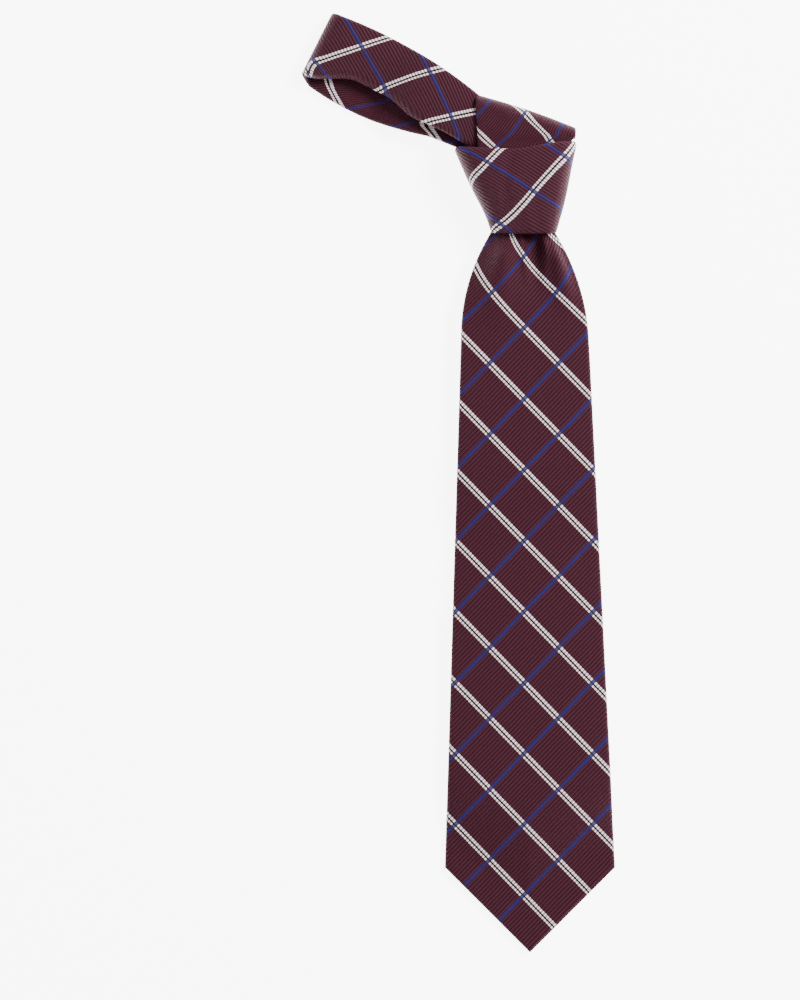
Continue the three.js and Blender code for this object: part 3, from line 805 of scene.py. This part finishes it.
def seam_stitches(name, blade, start, end):
    path = [(blade.middle_at(y), y, blade.height_at(y) + 0.02) for y in np.linspace(start, end, 40)]
    return stitches(name, path, DOWN)


def join_into(target, *others):
    bpy.ops.object.select_all(action="DESELECT")
    for other in others:
        other.select_set(True)
    target.select_set(True)
    bpy.context.view_layer.objects.active = target
    bpy.ops.object.join()
    return target


def bar_tack(name, middle, y, z, width=6.4):
    """A dense bar of thread across the seam, wound round with a few turns."""
    across = [(middle - width / 2 + width * t, y, z) for t in np.linspace(0, 1, 14)]
    wound = stitches(name, across, DOWN, spacing=0.36, length=1.5, radius=0.2, slant=6.0)
    for offset in (-0.35, 0.0, 0.35):
        line = [(middle - width / 2 + width * t, y + offset, z + 0.02) for t in np.linspace(0, 1, 8)]
        core = stitches(name + "_core", line, DOWN, spacing=width, length=width, radius=0.3, slant=0.0)
        join_into(wound, core)
    return wound


def strip(name, centre, size, thickness, bow=0.0, check=None):
    """A flat strip behind the blade with soft edges. It bows away from the blade between its ends."""
    width, height = size
    columns, rows = 25, 11
    points, uv = [], []
    for v in np.linspace(-1, 1, rows):
        for u in np.linspace(-1, 1, columns):
            edge = 0.25 * abs(v) ** 10
            droop = bow * (1 - u ** 4) + 0.04 * math.sin(9 * u + 2 * v)
            along, across = u * width / 2, v * height / 2
            points.append((centre[0] + along, centre[1] + across, centre[2] - droop + edge * thickness))
            uv.append((along, across))
    faces = facing(points, grid_faces(rows, columns), DOWN)
    uv = np.array(uv)
    mapped = check(uv[:, 0], uv[:, 1]) if check else uv / 10
    piece = add_object(name, points, faces, mapped)
    return thicken(piece, thickness)


front_seam = seam_stitches("front_seam_stitches", front_blade, -4, -228)
tail_seam = seam_stitches("tail_seam_stitches", tail_blade, 30, -176)
FRONT_TACK_Y, TAIL_TACK_Y = -231.6, -178.6
front_tack = bar_tack(
    "front_tack_thread", blade_middle(FRONT_TACK_Y), FRONT_TACK_Y, blade_height(FRONT_TACK_Y) - 0.05
)
tail_tack = bar_tack("tail_tack_thread", 0.0, TAIL_TACK_Y, 0.22, 5.6)

neck_normal = normals_of(loop_centre, loop_up)[4:-4, LOOP_COLUMNS // 2]
seam_path = loop_centre[4:-4, LOOP_COLUMNS // 2] - neck_normal * (BAND / 2 - 0.05)
neck_seam = stitches("neck_seam_stitches", seam_path, -neck_normal)


def trim_place(node):
    """The middle of the front of a piece of trim in the CAD, and its width and height."""
    middle = (low(node) + high(node)) / 2 - ORIGIN
    return np.array([middle[0], middle[1], high(node)[2]]), (high(node) - low(node))[:2]


keeper_front, keeper_size = trim_place("keeper_loop")
keeper = strip(
    "keeper_silk", keeper_front - (0, 0, 0.85), keeper_size, 0.75, bow=0.3,
    check=check_from((4.0, 2.0), (16.1, -16.1), (16.1, 16.1)),
)
label_front, label_size = trim_place("label")
label = strip("label_weave", label_front - (0, 0, 0.42), label_size, 0.35)
tag_front, tag_size = trim_place("care_tag")
care_tag = strip("care_tag_weave", tag_front - (0, 0, 0.42), tag_size, 0.3)


def edge_stitches(name, front, depth, size, sides):
    """Short stitches that hold a piece of trim along some of its edges."""
    made = []
    w, h = size[0] / 2 - 0.9, size[1] / 2 - 0.9
    runs = {"left": ((-w, -h), (-w, h)), "right": ((w, -h), (w, h)), "top": ((-w, h), (w, h))}
    for k, side in enumerate(sides):
        (ax, ay), (bx, by) = runs[side]
        path = [front + (mix(ax, bx, t), mix(ay, by, t), -depth) for t in np.linspace(0, 1, 10)]
        made.append(stitches(f"{name}_{k}", path, DOWN, spacing=1.8, length=1.2, radius=0.13, slant=0.0))
    piece = made[0]
    piece.name = name
    if made[1:]:
        join_into(piece, *made[1:])
    return piece


keeper_stitches = edge_stitches("keeper_stitches", keeper_front, 0.9, keeper_size, ("left", "right"))
label_stitches = edge_stitches("label_stitches", label_front, 0.45, label_size, ("left", "right"))
tag_stitches = edge_stitches("care_tag_stitches", tag_front, 0.45, tag_size, ("top",))

# ---- Materials ----


def material(name):
    made = bpy.data.materials.new(name)
    made.use_nodes = True
    tree = made.node_tree
    tree.nodes.clear()
    out = tree.nodes.new("ShaderNodeOutputMaterial")
    shader = tree.nodes.new("ShaderNodeBsdfPrincipled")
    tree.links.new(shader.outputs["BSDF"], out.inputs["Surface"])
    return made, tree, shader


def set_inputs(node, values):
    for name, value in values.items():
        node.inputs[name].default_value = value


class Nodes:
    """Short ways to add and join shader nodes."""

    def __init__(self, tree):
        self.tree = tree

    def link(self, value, socket):
        if isinstance(value, bpy.types.NodeSocket):
            self.tree.links.new(value, socket)
        else:
            socket.default_value = value

    def math(self, kind, a, b=0.0, c=0.0):
        node = self.tree.nodes.new("ShaderNodeMath")
        node.operation = kind
        for value, socket in zip((a, b, c), node.inputs):
            self.link(value, socket)
        return node.outputs[0]

    def blend(self, share, a, b):
        node = self.tree.nodes.new("ShaderNodeMix")
        node.data_type = "RGBA"
        self.link(share, node.inputs[0])
        self.link(a, node.inputs[6])
        self.link(b, node.inputs[7])
        return node.outputs[2]

    def noise(self, scale, detail=2.0, vector=None):
        node = self.tree.nodes.new("ShaderNodeTexNoise")
        set_inputs(node, {"Scale": scale, "Detail": detail, "Roughness": 0.5})
        self.tree.links.new(self.place() if vector is None else vector, node.inputs["Vector"])
        return node.outputs["Fac"]

    def place(self):
        return self.tree.nodes.new("ShaderNodeTexCoord").outputs["Object"]

    def cloth(self):
        node = self.tree.nodes.new("ShaderNodeUVMap")
        node.uv_map = "cloth"
        split = self.tree.nodes.new("ShaderNodeSeparateXYZ")
        self.tree.links.new(node.outputs["UV"], split.inputs[0])
        return split.outputs[0], split.outputs[1], node.outputs["UV"]

    def bump(self, height, strength, distance, normal=None):
        node = self.tree.nodes.new("ShaderNodeBump")
        set_inputs(node, {"Strength": strength, "Distance": distance})
        self.tree.links.new(height, node.inputs["Height"])
        if normal is not None:
            self.tree.links.new(normal, node.inputs["Normal"])
        return node.outputs["Normal"]

    def step(self, value, edge, soft):
        """0 above edge + soft, 1 below edge - soft."""
        node = self.tree.nodes.new("ShaderNodeMapRange")
        node.interpolation_type = "SMOOTHSTEP"
        self.link(value, node.inputs["Value"])
        set_inputs(node, {"From Min": edge - soft, "From Max": edge + soft, "To Min": 1.0, "To Max": 0.0})
        return node.outputs[0]


RIBS_PER_CHECK = 15.0


def checked_silk(name="checked_silk"):
    made, tree, shader = material(name)
    n = Nodes(tree)
    i, j, uv = n.cloth()
    waver = n.math("MULTIPLY", n.math("SUBTRACT", n.noise(0.9, 2.0, uv), 0.5), 0.035)
    i = n.math("ADD", i, waver)

    def from_line(value, offset_mm):
        shifted = n.math("SUBTRACT", value, offset_mm / CHECK)
        wrapped = n.math("SUBTRACT", n.math("FRACT", n.math("ADD", shifted, 0.5)), 0.5)
        return n.math("MULTIPLY", n.math("ABSOLUTE", wrapped), CHECK)

    # Ribs run beside the blue lines: 0 in the groove between two, and 1 on the crown of one.
    rib_phase = n.math("FRACT", n.math("ADD", n.math("MULTIPLY", i, RIBS_PER_CHECK), 0.5))
    rib = n.math("SINE", n.math("MULTIPLY", rib_phase, math.pi))
    groove = n.math("SUBTRACT", 1.0, n.math("POWER", rib, 0.6))
    filling = n.math("FRACT", n.math("MULTIPLY", j, 56.0))
    weft = n.math("SINE", n.math("MULTIPLY", filling, math.pi))
    lilac = n.step(from_line(j, 0.84), 0.60, 0.09)
    cream = n.step(from_line(j, -1.04), 0.44, 0.09)
    between = n.step(from_line(j, -0.25), 0.50, 0.20)
    blue = n.step(from_line(i, 0.0), 0.84, 0.16)
    streak = n.noise(26.0, 3.0, uv)
    fleck = n.noise(2400.0, 2.0)
    slub = n.noise(70.0, 2.0)
    ground = n.blend(streak, (0.032, 0.0056, 0.0122, 1), (0.054, 0.0112, 0.0215, 1))
    ground = n.blend(n.math("MULTIPLY", fleck, 0.45), ground, (0.090, 0.026, 0.042, 1))
    ground = n.blend(n.math("MULTIPLY", groove, 0.92), ground, (0.0035, 0.0006, 0.0014, 1))
    ground = n.blend(n.math("MULTIPLY", between, 0.55), ground, (0.008, 0.0018, 0.005, 1))
    bead = n.math("POWER", rib, 1.2)
    lilac_colour = n.blend(bead, (0.10, 0.04, 0.07, 1), (0.96, 0.89, 0.96, 1))
    cream_colour = n.blend(bead, (0.12, 0.05, 0.045, 1), (0.97, 0.89, 0.84, 1))
    colour = n.blend(lilac, ground, lilac_colour)
    colour = n.blend(cream, colour, cream_colour)
    over = n.math("MAXIMUM", lilac, cream)
    blue_colour = n.blend(over, (0.019, 0.014, 0.088, 1), (0.0050, 0.0052, 0.042, 1))
    colour = n.blend(n.math("MULTIPLY", blue, 0.92), colour, blue_colour)
    tree.links.new(colour, shader.inputs["Base Color"])
    light = n.math("MAXIMUM", over, blue)
    n.link(n.math("ADD", n.math("MULTIPLY", slub, 0.16), 0.44), shader.inputs["Roughness"])
    set_inputs(shader, {
        "Specular IOR Level": 0.10, "IOR": 1.36,
        "Sheen Weight": 0.02, "Sheen Roughness": 0.45, "Sheen Tint": (0.85, 0.45, 0.55, 1),
    })
    relief = n.math("ADD", rib, n.math("MULTIPLY", weft, 0.16))
    relief = n.math("ADD", relief, n.math("MULTIPLY", light, 0.35))
    relief = n.math("ADD", relief, n.math("MULTIPLY", fleck, 0.25))
    soft = n.bump(slub, 0.25, 0.0006)
    tree.links.new(n.bump(relief, 0.85, 0.00034, soft), shader.inputs["Normal"])
    return made


def plain_cloth(name, colour, dark, roughness, scale, sheen=0.2, bump_depth=0.0002, weave=True):
    made, tree, shader = material(name)
    n = Nodes(tree)
    cloudy = n.noise(90.0, 3.0)
    fine = n.noise(scale, 3.0)
    tone = n.blend(cloudy, dark, colour)
    tone = n.blend(n.math("MULTIPLY", fine, 0.5), tone, tuple(0.7 * c for c in colour[:3]) + (1,))
    height = fine
    if weave:
        split = tree.nodes.new("ShaderNodeSeparateXYZ")
        tree.links.new(n.place(), split.inputs[0])
        warp = n.math("SINE", n.math("MULTIPLY", n.math("ADD", split.outputs[0], split.outputs[1]), 9000.0))
        weft = n.math("SINE", n.math("MULTIPLY", n.math("SUBTRACT", split.outputs[0], split.outputs[1]), 9000.0))
        height = n.math("ADD", fine, n.math("MULTIPLY", n.math("MULTIPLY", warp, weft), 0.4))
    tree.links.new(tone, shader.inputs["Base Color"])
    n.link(n.math("ADD", n.math("MULTIPLY", cloudy, 0.15), roughness), shader.inputs["Roughness"])
    set_inputs(shader, {"Specular IOR Level": 0.15, "Sheen Weight": 0.3 * sheen, "Sheen Roughness": 0.5})
    tree.links.new(n.bump(height, 0.6, bump_depth), shader.inputs["Normal"])
    return made


def woven_label(name, ground, border, half_width, half_height):
    """A blank woven label with a border line near each edge. Its cloth map is in centimetres from its middle."""
    made, tree, shader = material(name)
    n = Nodes(tree)
    u, v, uv = n.cloth()
    to_side = n.math("SUBTRACT", half_width / 10, n.math("ABSOLUTE", u))
    to_end = n.math("SUBTRACT", half_height / 10, n.math("ABSOLUTE", v))
    edge = n.math("MINIMUM", to_side, to_end)
    line = n.step(n.math("ABSOLUTE", n.math("SUBTRACT", edge, 0.16)), 0.025, 0.008)
    warp = n.math("SINE", n.math("MULTIPLY", u, 190.0))
    weft = n.math("SINE", n.math("MULTIPLY", v, 150.0))
    weave = n.math("MULTIPLY", warp, weft)
    fleck = n.noise(60.0, 2.0, uv)
    tone = n.blend(n.math("MULTIPLY", fleck, 0.5), ground, tuple(min(1.6 * c, 1) for c in ground[:3]) + (1,))
    tone = n.blend(line, tone, border)
    tree.links.new(tone, shader.inputs["Base Color"])
    n.link(n.math("ADD", n.math("MULTIPLY", fleck, 0.2), 0.5), shader.inputs["Roughness"])
    set_inputs(shader, {"Specular IOR Level": 0.1, "Sheen Weight": 0.03})
    tree.links.new(n.bump(n.math("ADD", weave, line), 0.5, 0.0001), shader.inputs["Normal"])
    return made


silk = checked_silk()
wool = plain_cloth("wool_interlining", (0.70, 0.65, 0.55, 1), (0.52, 0.47, 0.38, 1), 0.8, 1500.0, 0.4, 0.0003, False)
satin = plain_cloth("satin_lining", (0.080, 0.012, 0.022, 1), (0.050, 0.007, 0.013, 1), 0.28, 3000.0, 0.1, 0.00006)
thread = plain_cloth("sewing_thread", (0.150, 0.022, 0.042, 1), (0.080, 0.010, 0.020, 1), 0.45, 5000.0, 0.2, 0.0001)
label_cloth = woven_label(
    "woven_label", (0.030, 0.013, 0.020, 1), (0.55, 0.47, 0.36, 1), label_size[0] / 2, label_size[1] / 2
)
tag_cloth = woven_label("woven_tag", (0.78, 0.76, 0.71, 1), (0.42, 0.40, 0.38, 1), tag_size[0] / 2, tag_size[1] / 2)

DRESSED = (
    (silk, "silk", (front_shell, tail_shell, loop_shell, wrap_shell, pass_shell, back_shell, keeper)),
    (wool, "interlining", (front_pad, tail_pad, loop_pad, wrap_pad, pass_pad, back_pad)),
    (satin, "tipping", (front_lining, tail_lining)),
    (thread, "thread", (
        front_seam, tail_seam, neck_seam, front_tack, tail_tack, keeper_stitches, label_stitches, tag_stitches,
    )),
    (label_cloth, "label", (label,)),
    (tag_cloth, "care_tag", (care_tag,)),
)
for cloth, slot, pieces in DRESSED:
    for piece in pieces:
        piece.data.materials.clear()
        piece.data.materials.append(cloth)

# ---- How the pieces follow the frame ----


for piece in (front_shell, front_pad, front_seam):
    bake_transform(piece)
for piece in (front_lining, front_tack, keeper, label, care_tag, keeper_stitches, label_stitches, tag_stitches):
    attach(piece, "front_blade")
for piece in (loop_shell, loop_pad, neck_seam):
    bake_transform(piece)
for piece in (tail_shell, tail_pad, tail_lining, tail_seam, tail_tack):
    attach(piece, "tail_blade")
for piece in (wrap_shell, wrap_pad, pass_shell, pass_pad, back_shell, back_pad):
    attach(piece, "knot")

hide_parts("front_blade_shell")
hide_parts("front_blade_interlining")
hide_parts("front_tipping")
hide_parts("front_slip_stitch")
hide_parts("front_bar_tack")
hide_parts("keeper_loop")
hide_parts("label")
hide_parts("care_tag")
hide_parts("tail_blade_shell")
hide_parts("tail_blade_interlining")
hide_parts("tail_tipping")
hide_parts("tail_slip_stitch")
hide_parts("tail_bar_tack")
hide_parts("neck_band_shell")
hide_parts("neck_band_interlining")
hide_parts("neck_slip_stitch")
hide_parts("knot_front_wrap")
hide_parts("knot_front_wrap_interlining")
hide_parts("knot_top_pass")
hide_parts("knot_top_pass_interlining")
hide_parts("knot_back_pass")
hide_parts("knot_back_pass_interlining")

# ---- Every sheet, with the size it was cut to ----
# A silk is cut about twice its finished width, because its flaps meet behind, and its wool to the finished width.

CUTS = (
    (front_shell, (0.160, 0.351), 0.0426, "folded", (tail_shell,), (front_seam, front_tack)),
    (front_pad, (0.077, 0.348), 0.0216, "laid", (front_shell,), ()),
    (front_lining, (0.073, 0.123), 0.0072, "laid", (front_shell,), ()),
    (keeper, (0.013, 0.050), None, "laid", (front_shell,), (keeper_stitches,)),
    (label, (0.018, 0.044), None, "laid", (front_shell,), (label_stitches,)),
    (care_tag, (0.012, 0.016), None, "laid", (front_shell,), (tag_stitches,)),
    (tail_shell, (0.076, 0.265), 0.0157, "folded", (), (tail_seam, tail_tack)),
    (tail_pad, (0.035, 0.263), 0.0074, "laid", (tail_shell,), ()),
    (tail_lining, (0.032, 0.060), 0.0016, "laid", (tail_shell,), ()),
    (loop_shell, (0.072, 0.190), 0.0122, "folded", (), (neck_seam,)),
    (loop_pad, (0.033, 0.190), 0.0055, "folded", (loop_shell,), ()),
    (wrap_shell, (0.095, 0.100), 0.0074, "folded", (pass_shell,), ()),
    (wrap_pad, (0.043, 0.100), 0.0035, "folded", (wrap_shell,), ()),
    (pass_shell, (0.075, 0.060), 0.0040, "folded", (back_shell,), ()),
    (pass_pad, (0.034, 0.060), 0.0019, "folded", (pass_shell,), ()),
    (back_shell, (0.054, 0.042), 0.0021, "folded", (), ()),
    (back_pad, (0.026, 0.042), 0.0010, "folded", (back_shell,), ()),
)
for piece, flat, area, held, under, sewn_on in CUTS:
    [u.name for u in under]
    list(sewn_on)

# ---- Floor, camera and light ----

FLOOR_SIZE = 6.0
FLOOR_Z = -0.0004  # just below the lowest threads
FLOOR_GLOW = 7.0
SKY_GLOW = 0.70
bpy.ops.mesh.primitive_plane_add(size=FLOOR_SIZE, location=(0, 0, FLOOR_Z))
floor = bpy.context.object
floor.name = "floor"
paper, paper_tree, paper_shader = material("pale_paper")
paper_nodes = Nodes(paper_tree)
paper_grain = paper_nodes.noise(3.0, 2.0)
paper_tree.links.new(
    paper_nodes.blend(paper_grain, (0.93, 0.93, 0.93, 1), (0.96, 0.96, 0.96, 1)), paper_shader.inputs["Base Color"]
)
set_inputs(paper_shader, {"Roughness": 0.9, "Emission Color": (1, 1, 1, 1), "Emission Strength": FLOOR_GLOW})
floor.data.materials.append(paper)
floor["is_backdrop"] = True

PHOTO_CENTRE = (-58.5, -127.1)
PHOTO_HEIGHT = 0.4762  # metres seen from top to bottom, at SEEN_LEVEL above the surface
SEEN_LEVEL = 0.008
camera_data = bpy.data.cameras.new("camera")
camera_data.lens = 227.0
camera_data.sensor_width = 36.0
camera = bpy.data.objects.new("camera", camera_data)
camera_height = camera_data.lens / camera_data.sensor_width * PHOTO_HEIGHT + SEEN_LEVEL
camera.location = (
    (PHOTO_CENTRE[0] + ORIGIN[0]) / 1000, (PHOTO_CENTRE[1] + ORIGIN[1]) / 1000, camera_height
)
camera_data.clip_end = 50
bpy.context.scene.collection.objects.link(camera)
bpy.context.scene.camera = camera


def area_light(name, place, size, watts):
    data = bpy.data.lights.new(name, "AREA")
    data.energy = watts
    data.shape = "RECTANGLE"
    data.size, data.size_y = size
    light = bpy.data.objects.new(name, data)
    light.location = place
    light.rotation_euler = (-Vector(place)).to_track_quat("-Z", "Y").to_euler()
    bpy.context.scene.collection.objects.link(light)
    light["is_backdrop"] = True


area_light("key_from_right", (1.3, 0.9, 1.5), (0.7, 0.7), 95)
area_light("fill_from_left", (-1.5, -0.2, 1.6), (1.6, 1.6), 6)

world = bpy.data.worlds.new("studio")
world.use_nodes = True
set_inputs(world.node_tree.nodes["Background"], {"Color": (1, 1, 1, 1), "Strength": SKY_GLOW})
bpy.context.scene.world = world

shown_low, shown_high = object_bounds()
corners = {"cad_low": cad_low, "cad_high": cad_high, "shown_low": shown_low, "shown_high": shown_high}
{label_text: [round(float(v), 6) for v in corner] for label_text, corner in corners.items()}
